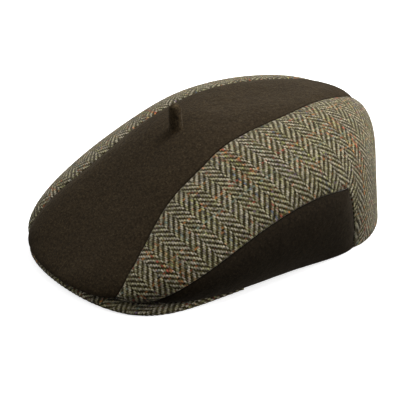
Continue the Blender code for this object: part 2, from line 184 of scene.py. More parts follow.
# The yarns of the tweed. A check is the coloured yarns in one repeat of so many. Tone, slub and
# hue are noise along a yarn: how far apart two neighbours are in it, its scale, where it is
# cut, and its detail. A step is from where to where in noise one colour gives way to another.
Yarn = namedtuple("Yarn", "check repeat tone slub hue plain_patch slub_patch plain_step"
                          " second_step second_share slub_share")
WARP = Yarn(
    check=((0, "green"), (3, "blue"), (5, "green"), (10, "violet"), (34, "blue"), (37, "red"),
           (38, "orange"), (41, "green"), (43, "orange"), (44, "red"), (58, "teal"),
           (60, "violet")),
    repeat=73, tone=(7.31, 22.0, 1.7, 1.0), slub=(3.77, 130.0, 4.1, 0.0),
    hue=(2.93, 60.0, 21.3, 0.0), plain_patch=0.10, slub_patch=0.06, plain_step=(0.46, 0.56),
    second_step=(0.40, 0.60), second_share=0.75, slub_share=0.7)
WEFT = Yarn(
    check=((3, "orange"), (4, "red"), (6, "green"), (11, "teal"), (18, "orange"), (19, "red"),
           (29, "orange"), (33, "red"), (47, "blue")),
    repeat=64, tone=(5.17, 22.0, 9.4, 1.0), slub=(4.63, 130.0, 6.6, 0.0),
    hue=(6.11, 60.0, 33.8, 0.0), plain_patch=0.08, slub_patch=0.08, plain_step=(0.42, 0.52),
    second_step=(0.40, 0.66), second_share=1.0, slub_share=0.6)
CHECK_COLOURS = {
    "red": (0.360, 0.080, 0.046), "orange": (0.500, 0.200, 0.055), "green": (0.290, 0.285, 0.100),
    "blue": (0.135, 0.160, 0.205), "violet": (0.155, 0.105, 0.160), "teal": (0.185, 0.250, 0.205),
}
SLUB_COLOURS = (
    # noise value, colour
    (0.00, "teal"), (0.36, "green"), (0.43, "blue"), (0.49, "orange"), (0.55, "red"),
    (0.61, "orange"), (0.70, "violet"),
)
SLUB_STEP = (0.72, 0.78)

# The rest of the tweed. A noise is its scale, detail and roughness. A tone, a painted shade or a
# roughness is what it is where its noise, share or height is 0 and what it is where that is 1.
PATCH_NOISE = (34.0, 2.0, 0.6)  # patches with more coloured yarn
PATCH_STEP = (0.42, 0.62)
YARN_WANDER = (0.0010, 0.0010, 0.0)  # how far the yarns wander from their lines
WANDER_NOISE = (320.0, 2.0, 0.5)
WEFT_RISE = 0.6  # height of a float of weft, of a float of warp
YARN_FIBRE_NOISE = (1100.0, 3.0, 0.8)
YARN_FIBRE_RISE = 0.35
YARN_FIBRE_TONE = (-0.42, 2.38)
# Painted shade in the hollows between yarns: a float is darker towards its edges
FLOAT_HOLLOW_SHADE = (0.22, 1.27)  # from a float's edge to its middle
FLOAT_TONE = (0.36, 1.36)  # each crossing of two yarns has its own
REGION_NOISE = (22.0, 2.0, 0.5)  # wide unevenness
REGION_TONE = (0.84, 1.16)
# Painted shade: the tweed is darker near its edge, where a seam's shadow falls
TWEED_SEAM_SHADE = (0.85, 1.0)
TWEED_SEAM_SHADE_RUN = 0.0010  # the tweed is darker this close to its edge
TWEED_ROUGHNESS = (0.80, 0.95)
TWEED_BUMP = 0.00035

# The felt
FIBRE_NOISE = (1300.0, 3.0, 0.65)
FIBRE_WAYS = (
    # scale along each axis, turn
    ((0.25, 1.0, 1.0), (0.3, 0.2, 0.6)),
    ((1.0, 0.25, 1.0), (-0.5, 0.3, 0.2)),
)
FIBRE_BEND = (0.004, 0.004, 0.004)
BEND_NOISE = (180.0, 2.0, 0.5)
MOTTLE_NOISE = (640.0, 4.0, 0.7)
CLOUD_NOISE = (38.0, 3.0, 0.55)
CLOUD_TONE = (0.78, 1.22)
PALE_STEP = (0.52, 0.80)
DARK_STEP = (0.36, 0.60)
FIBRE_COVER = 0.75  # most that pale and dark fibres cover of the felt's own colour
FIBRE_RISE = 0.7
MOTTLE_RISE = 0.5
# Painted shade: the felt is darker near its edge, where a seam's shadow falls
FELT_SEAM_SHADE = (0.62, 1.0)
FELT_SEAM_SHADE_RUN = 0.0014
FELT_ROUGHNESS = (0.86, 0.98)
FELT_BUMP = 0.00045
EAR_TONE = 0.52  # the ear panels' felt is darker than the top's
STEM_TONE = 1.5  # and the stem's is paler

# The camera, at the photograph's viewing angle
CAMERA_AZIMUTH = 54.65
CAMERA_ELEVATION = 25.15
CAMERA_ROLL = -1.23
CAMERA_DISTANCE = 1.300
CAMERA_TARGET = (0.0, CROWN_Y, 0.050)
CAMERA_LENS = 164.5
CAMERA_SHIFT = (-0.0917, -0.0986)
CAMERA_SENSOR = 36.0

# The stage
HIDDEN_FLOOR = (0.076, 0.098)  # half sizes of the floor under the crown, which doesn't glow
HIDDEN_FADE = 0.8  # it starts to glow at this share of those, squared
FLOOR_HALF = 4.0
HORIZON = -0.05  # the sky is darkest in directions that climb less than this
HORIZON_LIGHT = 0.02
LIGHTS = (
    # name, place, size, power
    ("key", (0.1, 1.2, 2.1), 1.4, 55.0),
    ("rear_fill", (1.6, 2.1, 0.7), 1.2, 36.0),
    ("front_fill", (0.3, -1.8, 1.35), 1.4, 5.4),
)


def metres(name, description, default, low, high):
    """A setting in metres."""
    return bpy.props.FloatProperty(name=name, description=description, default=default, min=low,
                                   max=high, unit="LENGTH", precision=6)


def tint(name, description, default):
    """A setting that is a colour."""
    return bpy.props.FloatVectorProperty(name=name, description=description, default=default,
                                         min=0.0, max=1.0, subtype="COLOR")


class ClothSizes(bpy.types.PropertyGroup):
    """Sizes of the cloth that the panels and the peak are made of."""
    wall: metres("Wall", "Thickness of felt and tweed", 0.0020, 0.001, 0.003)
    seam_dip: metres("Seam dip", "How far the cloth sinks into a seam", 0.0014, 0.0, 0.003)
    seam_spread: metres("Seam spread", "Distance over which the dip fades", 0.0060, 0.001, 0.02)
    edge_round: metres("Edge round", "Radius of a turned edge", 0.0009, 0.0, 0.001)
    grid: metres("Grid", "Size of a tweed panel's grid cells", 0.00062, 0.0003, 0.003)


class FeltLook(bpy.types.PropertyGroup):
    """Colours and nap of the felt."""
    main: tint("Felt", "Main colour of the felt", (0.0325, 0.0220, 0.0112))
    pale_fibre: tint("Pale fibre", "Colour of the paler fibres", (0.098, 0.074, 0.040))
    dark_fibre: tint("Dark fibre", "Colour between the fibres", (0.0105, 0.0070, 0.0038))
    nap: metres("Nap", "Height of the felt's soft unevenness", 0.00012, 0.0, 0.001)


class TweedLook(bpy.types.PropertyGroup):
    """Colours and weave of the herringbone tweed."""
    ends: bpy.props.IntProperty(
        name="Ends", description="Warp ends in one herringbone band", default=8, min=4, max=24)
    end: metres("End", "Spacing of the warp ends", 0.001116, 0.0003, 0.003)
    pick: metres("Pick", "Spacing of the weft picks; the twill repeats every four", 0.00130,
                 0.0003, 0.003)
    rib: metres("Rib", "Height of the twill's ribs", 0.00030, 0.0, 0.001)
    light: tint("Light yarn", "Main colour of the warp", (0.352, 0.311, 0.226))
    olive: tint("Olive yarn", "Greener lengths of the warp", (0.270, 0.250, 0.120))
    dark: tint("Dark yarn", "Main colour of the weft", (0.050, 0.037, 0.011))
    brown: tint("Brown yarn", "Paler lengths of the weft", (0.100, 0.082, 0.030))


class StageLook(bpy.types.PropertyGroup):
    """Floor and light of the stage."""
    floor: tint("Floor", "Colour of the floor", (0.90, 0.90, 0.90))
    ambient: bpy.props.FloatProperty(
        name="Ambient", description="Strength of the light from above", default=0.66,
        min=0.0, max=5.0)
    glow: bpy.props.FloatProperty(
        name="Glow", description="Light of the floor's own, which keeps the ground white",
        default=0.7, min=0.0, max=5.0)


def unit(vectors):
    """The vectors at length one."""
    return vectors / np.linalg.norm(vectors, axis=-1, keepdims=True)


def smooth(share):
    """An even step from 0 to 1: three squares less two cubes of the share."""
    share = np.clip(share, 0.0, 1.0)
    return share * share * (3.0 - 2.0 * share)


def turn_from_front(theta):
    """Angle from the front without its sign, degrees."""
    return np.abs((np.degrees(theta) + 180.0) % 360.0 - 180.0)


def round_head(column, theta):
    """One column of the crown rows at any angle, as a sum of cosines through every row."""
    rows = np.array(CROWN)
    angles = np.radians(rows[:, 0])
    order = np.arange(len(angles))
    weights = np.linalg.solve(np.cos(np.outer(angles, order)), rows[:, column])
    return np.cos(np.multiply.outer(theta, order)) @ weights


def hem_height(theta):
    """Height of the hem: level at the back and sides, an even step up on to the peak."""
    level = HEM_LEVEL_ANGLE - turn_from_front(theta)
    return HEM_RISE * smooth(level / (HEM_LEVEL_ANGLE - HEM_FRONT_ANGLE))


def crown(theta, climb):
    """The crown without dents: each angle is a five point Bezier curve from hem to apex."""
    theta, climb = np.broadcast_arrays(np.asarray(theta, float), np.asarray(climb, float))
    hem_out, belt_out, belt_up, shoulder_out, shoulder_up, roof_out = (
        round_head(column, theta) for column in range(1, 7))
    rest = 1.0 - climb
    hem = rest ** 4
    belt = 4.0 * climb * rest ** 3
    shoulder = 6.0 * climb ** 2 * rest ** 2
    roof = 4.0 * climb ** 3 * rest
    out = hem * hem_out + belt * belt_out + shoulder * shoulder_out + roof * roof_out
    up = belt * belt_up + shoulder * shoulder_up + roof + climb ** 4
    x = out * HALF_WIDTH * np.sin(theta)
    y = CROWN_Y + APEX_Y * (1.0 - rest ** 2) - out * HALF_LENGTH * np.cos(theta)
    return np.stack([x, y, up * HEIGHT + hem * hem_height(theta)], -1)


def slopes(theta, climb):
    """How the crown moves with the angle and with the climb, by central differences."""
    step = 1e-4
    along = (crown(theta + step, climb) - crown(theta - step, climb)) / (2.0 * step)
    upward = (crown(theta, climb + step) - crown(theta, climb - step)) / (2.0 * step)
    return along, upward


def outward(theta, climb):
    """Unit normal of the crown: the cross product of its two slopes."""
    along, upward = slopes(theta, np.minimum(climb, NEAR_APEX))
    return unit(np.cross(along, upward))


def dented(theta, climb):
    """The crown moved along its normal by a sum of bell shaped dents."""
    turn = np.degrees(theta)
    depth = np.zeros(np.broadcast(theta, climb).shape)
    for angle, height, angle_spread, climb_spread, share in DENTS:
        away = (turn - angle + 180.0) % 360.0 - 180.0
        near = np.exp(-(away / angle_spread) ** 2 - ((climb - height) / climb_spread) ** 2)
        depth += share * HEIGHT * near * smooth(climb / CALM_CLIMB)
    return crown(theta, climb) - outward(theta, climb) * depth[..., None]


def run_lengths(points):
    """How far along a line of points each of them is."""
    steps = np.linalg.norm(np.diff(points, axis=0), axis=-1)
    return np.concatenate([np.zeros((1,) + steps.shape[1:]), np.cumsum(steps, axis=0)])


def between(wanted, given, table):
    """A table's rows at other places than its own, straight between its nearest two rows."""
    columns = table.reshape(len(table), -1).T
    filled = np.stack([np.interp(wanted, given, column) for column in columns], -1)
    return filled.reshape((len(wanted),) + table.shape[1:])


def spaced(path, shares, values=None):
    """The places at shares of the way along a path, or the values that go with them."""
    length = run_lengths(crown(*path.T))
    return between(shares * length[-1], length, path if values is None else values)


def steps_along(path, grid):
    """How many points a path has at a grid's spacing."""
    return int(run_lengths(crown(*path.T))[-1] / grid)


def even_shares(count):
    """Shares from 0 to 1 in equal steps."""
    return np.linspace(0.0, 1.0, count)


def crowded_shares(count, width):
    """Shares from 0 to 1 in equal steps, with extra rows close to both ends."""
    tight = np.array(EDGE_ROWS) / width
    return np.concatenate([tight, even_shares(count)[1:-1], 1.0 - tight[::-1]])


def curve_through(rows, steps, count):
    """A smooth line through rows of numbers: a cubic between each two, with shared slopes."""
    knots = np.concatenate([[0.0], np.cumsum(steps)])
    slope = np.gradient(rows, knots, axis=0)
    place = np.linspace(0.0, knots[-1], count)
    piece = np.clip(np.searchsorted(knots, place, side="right") - 1, 0, len(steps) - 1)
    width = steps[piece][:, None]
    t = (place[:, None] - knots[piece][:, None]) / width
    return ((2 * t ** 3 - 3 * t ** 2 + 1) * rows[piece]
            + (t ** 3 - 2 * t ** 2 + t) * width * slope[piece]
            + (3 * t ** 2 - 2 * t ** 3) * rows[piece + 1]
            + (t ** 3 - t ** 2) * width * slope[piece + 1])


def seam(rows):
    """A fine smooth path of angle in radians and climb through a seam's rows."""
    rows = np.array(rows) * (math.pi / 180.0, 1.0)
    steps = np.hypot(np.diff(rows[:, 0]), CLIMB_WEIGHT * np.diff(rows[:, 1]))
    return curve_through(rows, steps, SEAM_SAMPLES)


def aside(path, shares, distance):
    """Places along a path, moved over the crown to its left as seen from outside."""
    along, upward = slopes(*path.T)
    run = np.gradient(crown(*path.T), axis=0)
    left = unit(np.cross(np.cross(along, upward), run)) * distance
    aa, au, uu = ((p * q).sum(-1) for p, q in ((along, along), (along, upward), (upward, upward)))
    a = (along * left).sum(-1)
    u = (upward * left).sum(-1)
    moved = path + np.stack([a * uu - u * au, u * aa - a * au], -1) / (aa * uu - au ** 2)[:, None]
    return spaced(path, shares, moved)


def slid_on(path, column, limit):
    """The path with its first point slid along its first step to a limit of angle or climb."""
    path = path.copy()
    step = path[0] - path[1]
    path[0] = path[1] + step * ((limit - path[1, column]) / step[column])
    return path


def straight(start, end, count=STRAIGHT_SAMPLES):
    """A path straight between two places, evenly spaced."""
    return np.array(start) + even_shares(count)[:, None] * (np.array(end) - start)


def ear_back():
    """The ear panel's back edge, from the seam straight down to the hem."""
    corner = seam(EAR_SEAM)[-1]
    return straight(corner, (corner[0], 0.0))


def centre_back():
    """The seam between the side panels, from the hem up to the tip of the top panel."""
    return straight((math.pi, 0.0), (math.pi, TOP_SEAM[-1][1]))


def ear_outline(distance, grid):
    """The seam over the ear panel and its back edge, moved aside and meeting in a corner."""
    over, drop = (aside(path, even_shares(steps_along(path, grid)), distance)
                  for path in (seam(EAR_SEAM), ear_back()))
    corner = over[-1] + drop[0] - seam(EAR_SEAM)[-1]
    over[-1] = corner
    drop[0] = corner
    drop[-1, 1] = 0.0
    return over, drop


def distance_to(points, paths, side):
    """Distance of every point to the nearest point of some paths over the dented crown."""
    flat = points.reshape(-1, 3)
    square = (flat * flat).sum(-1)[:, None]
    near = np.full(len(flat), np.inf)
    for path in paths:
        line = dented(*(spaced(path, even_shares(SEAM_SAMPLES)) * (side, 1.0)).T)
        for start in range(0, SEAM_SAMPLES, CHUNK):
            part = line[start:start + CHUNK]
            apart = square + (part * part).sum(-1)[None] - 2.0 * flat @ part.T
            near = np.minimum(near, apart.min(-1))
    return np.sqrt(np.maximum(near, 0.0)).reshape(points.shape[:-1])


def wall_direction(theta, climb):
    """The normal, turned level at the hem where the cap stands on it."""
    standing = smooth((turn_from_front(theta) - STANDING_ANGLE) / STANDING_SPREAD)
    standing = standing * (1.0 - smooth(climb / STANDING_CLIMB))
    normal = outward(theta, climb)
    normal[..., 2] *= 1.0 - standing
    return unit(normal)


def rolled(edge, radius):
    """How far a surface has rolled away at a distance from a turned edge: a quarter circle."""
    rest = np.clip(1.0 - edge / radius, 0.0, 1.0)
    return radius * (1.0 - np.sqrt(np.maximum(1.0 - rest * rest, 0.0)))


def soft_noise(points, size, seed):
    """Smooth noise from -1 to 1: random numbers on a lattice, evenly blended between them."""
    lattice = np.random.default_rng(seed).uniform(-1.0, 1.0, (NOISE_CELLS,) * 3)
    place = points / size
    cell = np.floor(place).astype(int)
    share = smooth(place - cell)
    total = np.zeros(points.shape[:-1])
    for corner in np.ndindex(2, 2, 2):
        index = (cell + corner) % NOISE_CELLS
        weight = np.prod(np.where(corner, share, 1.0 - share), axis=-1)
        total += weight * lattice[index[..., 0], index[..., 1], index[..., 2]]
    return total


def cloth_walls(theta, climb, seams, hems, side, sizes, relief):
    """Outer and inner points of a wall of cloth, and the distance to its edge.

    The outer side is the dented crown, sunk towards the seams by an exponential dip and
    rolled over at every edge by a quarter circle, and raised by the relief, which fades out
    at the edge. The inner side lies a wall's thickness below and rolls the other way.
    """
    base = dented(theta, climb)
    through = wall_direction(theta, climb)
    near = distance_to(base, seams, side)
    edge = np.minimum(np.maximum(near - SEAM_GAP / 2, 0.0), distance_to(base, hems, side))
    sunk = sizes.seam_dip * np.exp(-(near / sizes.seam_spread) ** DIP_POWER)
    roll = rolled(edge, sizes.edge_round)
    raised = relief(base, edge)
    outer = base - through * (sunk + roll - raised)[..., None]
    inner = base - through * (sunk + sizes.wall - roll)[..., None]
    return outer, inner, edge


def grid_quads(rows, columns, around):
    """Quads over rows of points numbered row by row; the columns close up if around is set."""
    row = np.arange(rows - 1)[:, None]
    column = np.arange(columns if around else columns - 1)[None]
    a = row * columns + column
    b = row * columns + (column + 1) % columns
    return np.stack([a, b, b + columns, a + columns], -1).reshape(-1, 4)


def sleeve_faces(loop, columns):
    """Faces of a flat sleeve: the rows close up round it and both ends are capped.

    The points are numbered row by row; the rows run up the outer side and down the inner one.
    """
    quads = grid_quads(loop, columns, False)
    last = (loop - 1) * columns + np.arange(columns - 1)
    first = np.arange(columns - 1)
    closing = np.stack([last, last + 1, first + 1, first], -1)
    rows = np.arange(loop) * columns
    caps = [rows.tolist(), (rows + columns - 1)[::-1].tolist()]
    return np.concatenate([quads, closing]).tolist() + caps


def dressed(name, points, faces, material, attributes, node):
    """A smooth shaded piece of points and faces that replaces a CAD node, which is hidden, and is
    attached to the root body.
    """
    mesh = bpy.data.meshes.new(name)
    mesh.from_pydata(points.tolist(), [], faces)
    for title, values in attributes.items():
        kind = "FLOAT" if values.ndim == 1 else "FLOAT_VECTOR"
        layer = mesh.attributes.new(title, kind, "POINT")
        layer.data.foreach_set("value" if values.ndim == 1 else "vector",
                               values.astype(np.float32).ravel())
    mesh.polygons.foreach_set("use_smooth", np.ones(len(mesh.polygons), bool))
    mesh.materials.append(material)
    piece = bpy.data.objects.new(name, mesh)
    bpy.context.scene.collection.objects.link(piece)
    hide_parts(node)
    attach(piece, "root")


def on_cloth(flat):
    """The place in the weave of every point, as vectors that end in nought."""
    return np.concatenate([flat, np.zeros(flat.shape[:2] + (1,))], -1).reshape(-1, 3)


def ruled_panel(lower, upper, rows, width, side, seams, hems, sizes, relief, lay_out=None):
    """Points, faces and attributes of a panel ruled between two paths from front to back."""
    share = crowded_shares(rows, width)[:, None, None]
    places = lower + share * (upper - lower)
    theta = places[..., 0] * side
    climb = places[..., 1]
    flat = lay_out(places) if lay_out else np.zeros(places.shape)
    outer, _, edge = cloth_walls(theta, climb, seams, hems, side, sizes,
                                 lambda base, gap: relief(base, gap, flat))
    few = crowded_shares(INNER_ROWS, width)[::-1, None, None]
    inside = lower + few * (upper - lower)
    _, inner, inner_edge = cloth_walls(inside[..., 0] * side, inside[..., 1], seams, hems, side,
                                       sizes, lambda base, gap: 0.0)
    inner_flat = between(few[:, 0, 0], share[:, 0, 0], flat)
    points = np.concatenate([outer, inner])
    faces = sleeve_faces(len(points), points.shape[1])
    if side < 0:
        faces = [face[::-1] for face in faces]
    attributes = {
        "edge": np.concatenate([edge, inner_edge]).ravel(),
        "cloth": on_cloth(np.concatenate([flat, inner_flat])),
    }
    return points.reshape(-1, 3), faces, attributes


def laid_flat(places):
    """Where each place of a ruled panel lies when the panel is laid flat, in metres.

    A coarse net of the panel is spread in the plane so that its rows, columns and diagonals
    keep their lengths as well as they can: over and over, every line is set to its own length
    and the net is put back together by least squares. The rest is filled in between.
    """
    rows = np.linspace(0, len(places) - 1, FLAT_ROWS).round().astype(int)
    columns = np.linspace(0, places.shape[1] - 1, FLAT_COLUMNS).round().astype(int)
    net = crown(*np.moveaxis(places[np.ix_(rows, columns)], -1, 0))
    number = np.arange(FLAT_ROWS * FLAT_COLUMNS).reshape(FLAT_ROWS, FLAT_COLUMNS)
    pairs = ((number[:-1], number[1:]), (number[:, :-1], number[:, 1:]),
             (number[:-1, :-1], number[1:, 1:]), (number[:-1, 1:], number[1:, :-1]))
    one = np.concatenate([pair[0].ravel() for pair in pairs])
    other = np.concatenate([pair[1].ravel() for pair in pairs])
    points = net.reshape(-1, 3)
    length = np.linalg.norm(points[one] - points[other], axis=1)
    ties = np.zeros((len(points), len(points)))
    for row, column, weight in ((one, one, 1.0), (other, other, 1.0),
                                (one, other, -1.0), (other, one, -1.0)):
        np.add.at(ties, (row, column), weight)
    ties[0, 0] += 1.0
    inverse = np.linalg.inv(ties)
    run = run_lengths(net[FLAT_ROWS // 2])
    flat = np.stack([np.broadcast_to(run, (FLAT_ROWS, FLAT_COLUMNS)), run_lengths(net)], -1)
    flat = flat.reshape(-1, 2)
    for _ in range(FLAT_ROUNDS):
        away = flat[one] - flat[other]
        away *= (length / np.maximum(np.linalg.norm(away, axis=1), TINY))[:, None]
        pull = np.zeros_like(flat)
        np.add.at(pull, one, away)
        np.add.at(pull, other, -away)
        flat = inverse @ pull
    flat = flat.reshape(FLAT_ROWS, FLAT_COLUMNS, 2)
    way = flat[FLAT_ROWS // 2, -1] - flat[FLAT_ROWS // 2, 0]
    flat = turned(flat, -math.degrees(math.atan2(way[1], way[0])), flat[FLAT_ROWS // 2, 0])
    wide = between(np.arange(places.shape[1]), columns, flat.swapaxes(0, 1)).swapaxes(0, 1)
    return between(np.arange(len(places)), rows, wide)


def turned(flat, degrees, origin):
    """Plane points turned about an origin."""
    c = math.cos(math.radians(degrees))
    s = math.sin(math.radians(degrees))
    away = flat - origin
    return np.stack([c * away[..., 0] - s * away[..., 1], s * away[..., 0] + c * away[..., 1]], -1)


def as_woven(flat):
    """Plane points in the weave's own run and climb: turned, moved along and skewed."""
    flat = turned(flat, WEAVE_TURN, (0.0, 0.0)) + WEAVE_SHIFT
    flat[..., 1] += WEAVE_SKEW * flat[..., 0]
    return flat


def rib_height(flat, look):
    """Height of the twill's ribs, 0 to 1: a cosine across diagonals that turn at each band.

    It is highest where the pale warp lies on top, two yarns out of four. Every other band is
    half a repeat further on, so that ribs meet furrows where they turn.
    """
    band = look.ends * look.end
    across = np.abs((flat[..., 0] + band) % (2.0 * band) - band)
    cut = TWILL / 2 * (np.floor(flat[..., 0] / band) % 2.0)
    phase = (across / look.end + flat[..., 1] / look.pick + cut - (TWILL - 1) / 2) / TWILL
    return 0.5 + 0.5 * np.cos(phase * 2.0 * math.pi)


class Value:
    """A number in a node tree. Sums and products with it add Math nodes."""

    def __init__(self, tree, socket):
        self.tree = tree
        self.socket = socket

    def maths(self, operation, *others):
        """This value put through a Math node, with the others as its further inputs."""
        return self.tree.node("ShaderNodeMath", {"operation": operation},
                              dict(enumerate((self,) + others)))

    def __add__(self, other):
        return self.maths("ADD", other)

    __radd__ = __add__

    def __sub__(self, other):
        return self.maths("SUBTRACT", other)

    def __rsub__(self, other):
        return self.tree.node("ShaderNodeMath", {"operation": "SUBTRACT"}, {0: other, 1: self})

    def __mul__(self, other):
        return self.maths("MULTIPLY", other)

    __rmul__ = __mul__

    def __truediv__(self, other):
        return self.maths("DIVIDE", other)

    def __pow__(self, other):
        return self.maths("POWER", other)

    def __lt__(self, other):
        return self.maths("LESS_THAN", other)


class Finish:
    """The node tree of a material or of the sky."""

    def __init__(self, owner, shader="Principled BSDF"):
        owner.use_nodes = True
        self.owner = owner
        self.nodes = owner.node_tree.nodes
        self.links = owner.node_tree.links
        self.shader = self.nodes[shader]

    def put(self, socket, value):
        """A value, a link or a colour without its alpha goes into a socket."""
        if isinstance(value, Value):
            self.links.new(value.socket, socket)
        elif socket.type == "RGBA":
            socket.default_value = (*value, 1.0)
        else:
            socket.default_value = value

    def shade(self, sockets):
        """Values or links of the shader's own sockets."""
        for name, value in sockets.items():
            self.put(self.shader.inputs[name], value)

    def node(self, kind, settings, sockets, output=0):
        """A node of a kind with its settings made first, then its sockets' values or links."""
        node = self.nodes.new(kind)
        for name, value in settings.items():
            if name == "stops":
                self.ramp(node.color_ramp, value)
            elif name == "interpolation":
                node.color_ramp.interpolation = value
            else:
                setattr(node, name, value)
        for name, value in sockets.items():
            self.put(node.inputs[name], value)
        return Value(self, node.outputs[output])

    def ramp(self, ramp, stops):
        """The stops of a colour ramp, as positions and colours."""
        while len(ramp.elements) < len(stops):
            ramp.elements.new(1.0)
        for element, (position, colour) in zip(ramp.elements, stops):
            element.position = position
            element.color = (*colour, 1.0)

    def step(self, value, low, high):
        """An even step from 0 to 1 as the value goes from low to high."""
        return self.node("ShaderNodeMapRange", {"interpolation_type": "SMOOTHSTEP"},
                         {"Value": value, "From Min": low, "From Max": high})

    def mix(self, share, first, second):
        """The first colour going to the second as the share goes from 0 to 1."""
        return self.node("ShaderNodeMix", {"data_type": "RGBA"}, {0: share, 6: first, 7: second}, 2)

    def times(self, first, second):
        """A colour made darker or lighter by a number."""
        return self.node("ShaderNodeMix", {"data_type": "RGBA", "blend_type": "MULTIPLY"},
                         {0: 1.0, 6: first, 7: self.vector(second, second, second)}, 2)

    def vector(self, x, y, z):
        """Three numbers as a vector."""
        return self.node("ShaderNodeCombineXYZ", {}, {0: x, 1: y, 2: z})

    def noise(self, place, scale, detail, roughness=0.5, output=0):
        """Soft noise from about 0.2 to 0.8 at a place; output 1 is three of them at once."""
        return self.node("ShaderNodeTexNoise", {"noise_dimensions": "3D"}, {
            "Vector": place, "Scale": scale, "Detail": detail, "Roughness": roughness}, output)

    def attribute(self, name, output):
        """A piece's own attribute: output 1 is a vector and 2 a number."""
        return self.node("ShaderNodeAttribute", {"attribute_name": name}, {}, output)

    def moved(self, place, way, reach):
        """A place moved by a vector times a reach."""
        return self.node("ShaderNodeVectorMath", {"operation": "MULTIPLY_ADD"},
                         {0: way, 1: reach, 2: place})

    def part(self, vector, axis):
        """One number of a vector."""
        return self.node("ShaderNodeSeparateXYZ", {}, {0: vector}, axis)

    def tone(self, value, ends):
        """A number that goes from one end to the other as the value goes from 0 to 1."""
        return ends[0] + value * (ends[1] - ends[0])

    def painted_seam_shade(self, ends, run):
        """Painted shade by the distance to the piece's edge, over a run: darker at a seam, where
        its shadow falls.
        """
        return self.tone(self.step(self.attribute("edge", 2), 0.0, run), ends)

    def finish(self, colour, roughness, height, bump, values):
        """The shader's varying colour, roughness and bump, and its plain values."""
        normal = self.node("ShaderNodeBump", {},
                           {"Height": height, "Distance": bump, "Strength": 1.0})
        self.shade({"Base Color": colour, "Roughness": roughness, "Normal": normal, **values})
        return self.owner


def felt_finish(name, piece_tone):
    """Felt: matted fibres in all directions, mottled, paler where the nap stands up."""
    if name in bpy.data.materials:
        return bpy.data.materials[name]
    look = bpy.context.scene.cap_felt
    f = Finish(bpy.data.materials.new(name))
    place = f.node("ShaderNodeTexCoord", {}, {}, 3)
    bent = f.moved(place, f.noise(place, *BEND_NOISE, 1), FIBRE_BEND)
    ways = [f.node("ShaderNodeMapping", {}, {"Vector": bent, "Scale": scale, "Rotation": turn})
            for scale, turn in FIBRE_WAYS]
    fibre = f.noise(ways[0], *FIBRE_NOISE).maths("MAXIMUM", f.noise(ways[1], *FIBRE_NOISE))
    mottle = f.noise(place, *MOTTLE_NOISE)
    cloud = f.noise(place, *CLOUD_NOISE)
    pale = f.step(fibre, *PALE_STEP) * FIBRE_COVER
    dark = FIBRE_COVER - f.step(mottle, *DARK_STEP) * FIBRE_COVER
    colour = f.mix(pale, look.main, look.pale_fibre)
    colour = f.mix(dark, colour, look.dark_fibre)
    # Painted shade along the seams
    painted_seam_shade = f.painted_seam_shade(FELT_SEAM_SHADE, FELT_SEAM_SHADE_RUN)
    colour = f.times(colour, f.tone(cloud, CLOUD_TONE) * painted_seam_shade * piece_tone)
    height = fibre * FIBRE_RISE + mottle * MOTTLE_RISE
    return f.finish(colour, f.tone(mottle, FELT_ROUGHNESS), height, FELT_BUMP,
                    {"Sheen Weight": 0.10, "Sheen Roughness": 0.40, "Specular IOR Level": 0.08,
                     "Sheen Tint": (1.0, 0.86, 0.66)})


def check_stops(check, repeat, plain):
    """Stops of a stepped ramp that is one colour except at the coloured yarns of a check."""
    stops = []
    for yarn, colour in check:
        if yarn > 0:
            stops.append((stops[-1][0] + 1.0 / repeat if stops else 0.0, plain))
        stops.append((yarn / repeat, CHECK_COLOURS[colour]))
    stops.append(((check[-1][0] + 1) / repeat, plain))
    return tuple(stops)


def yarn_colour(f, yarn, number, run, patches, plain, second):
    """Colour of the numbered yarns along their run.

    It is the check's colour where the slub noise is low and plain elsewhere, has lengths of a
    second colour, and has coloured slubs where the slub noise is high. Patches of the cloth
    have more of the check and of the slubs.
    """
    tone, slub, hue = (f.noise(f.vector(number * apart, run * scale, level), 1.0, detail)
                       for apart, scale, level, detail in (yarn.tone, yarn.slub, yarn.hue))
    place = (number + 0.5).maths("FLOORED_MODULO", float(yarn.repeat)) / yarn.repeat
    check = f.node("ShaderNodeValToRGB", {
        "interpolation": "CONSTANT", "stops": check_stops(yarn.check, yarn.repeat, tuple(plain))},
        {0: place})
    slubs = f.node("ShaderNodeValToRGB", {
        "stops": tuple((stop, CHECK_COLOURS[colour]) for stop, colour in SLUB_COLOURS)}, {0: hue})
    colour = f.mix(f.step(slub - patches * yarn.plain_patch, *yarn.plain_step), check, plain)
    colour = f.mix(f.step(tone, *yarn.second_step) * yarn.second_share, colour, second)
    return f.mix(f.step(slub + patches * yarn.slub_patch, *SLUB_STEP) * yarn.slub_share, colour,
                 slubs)


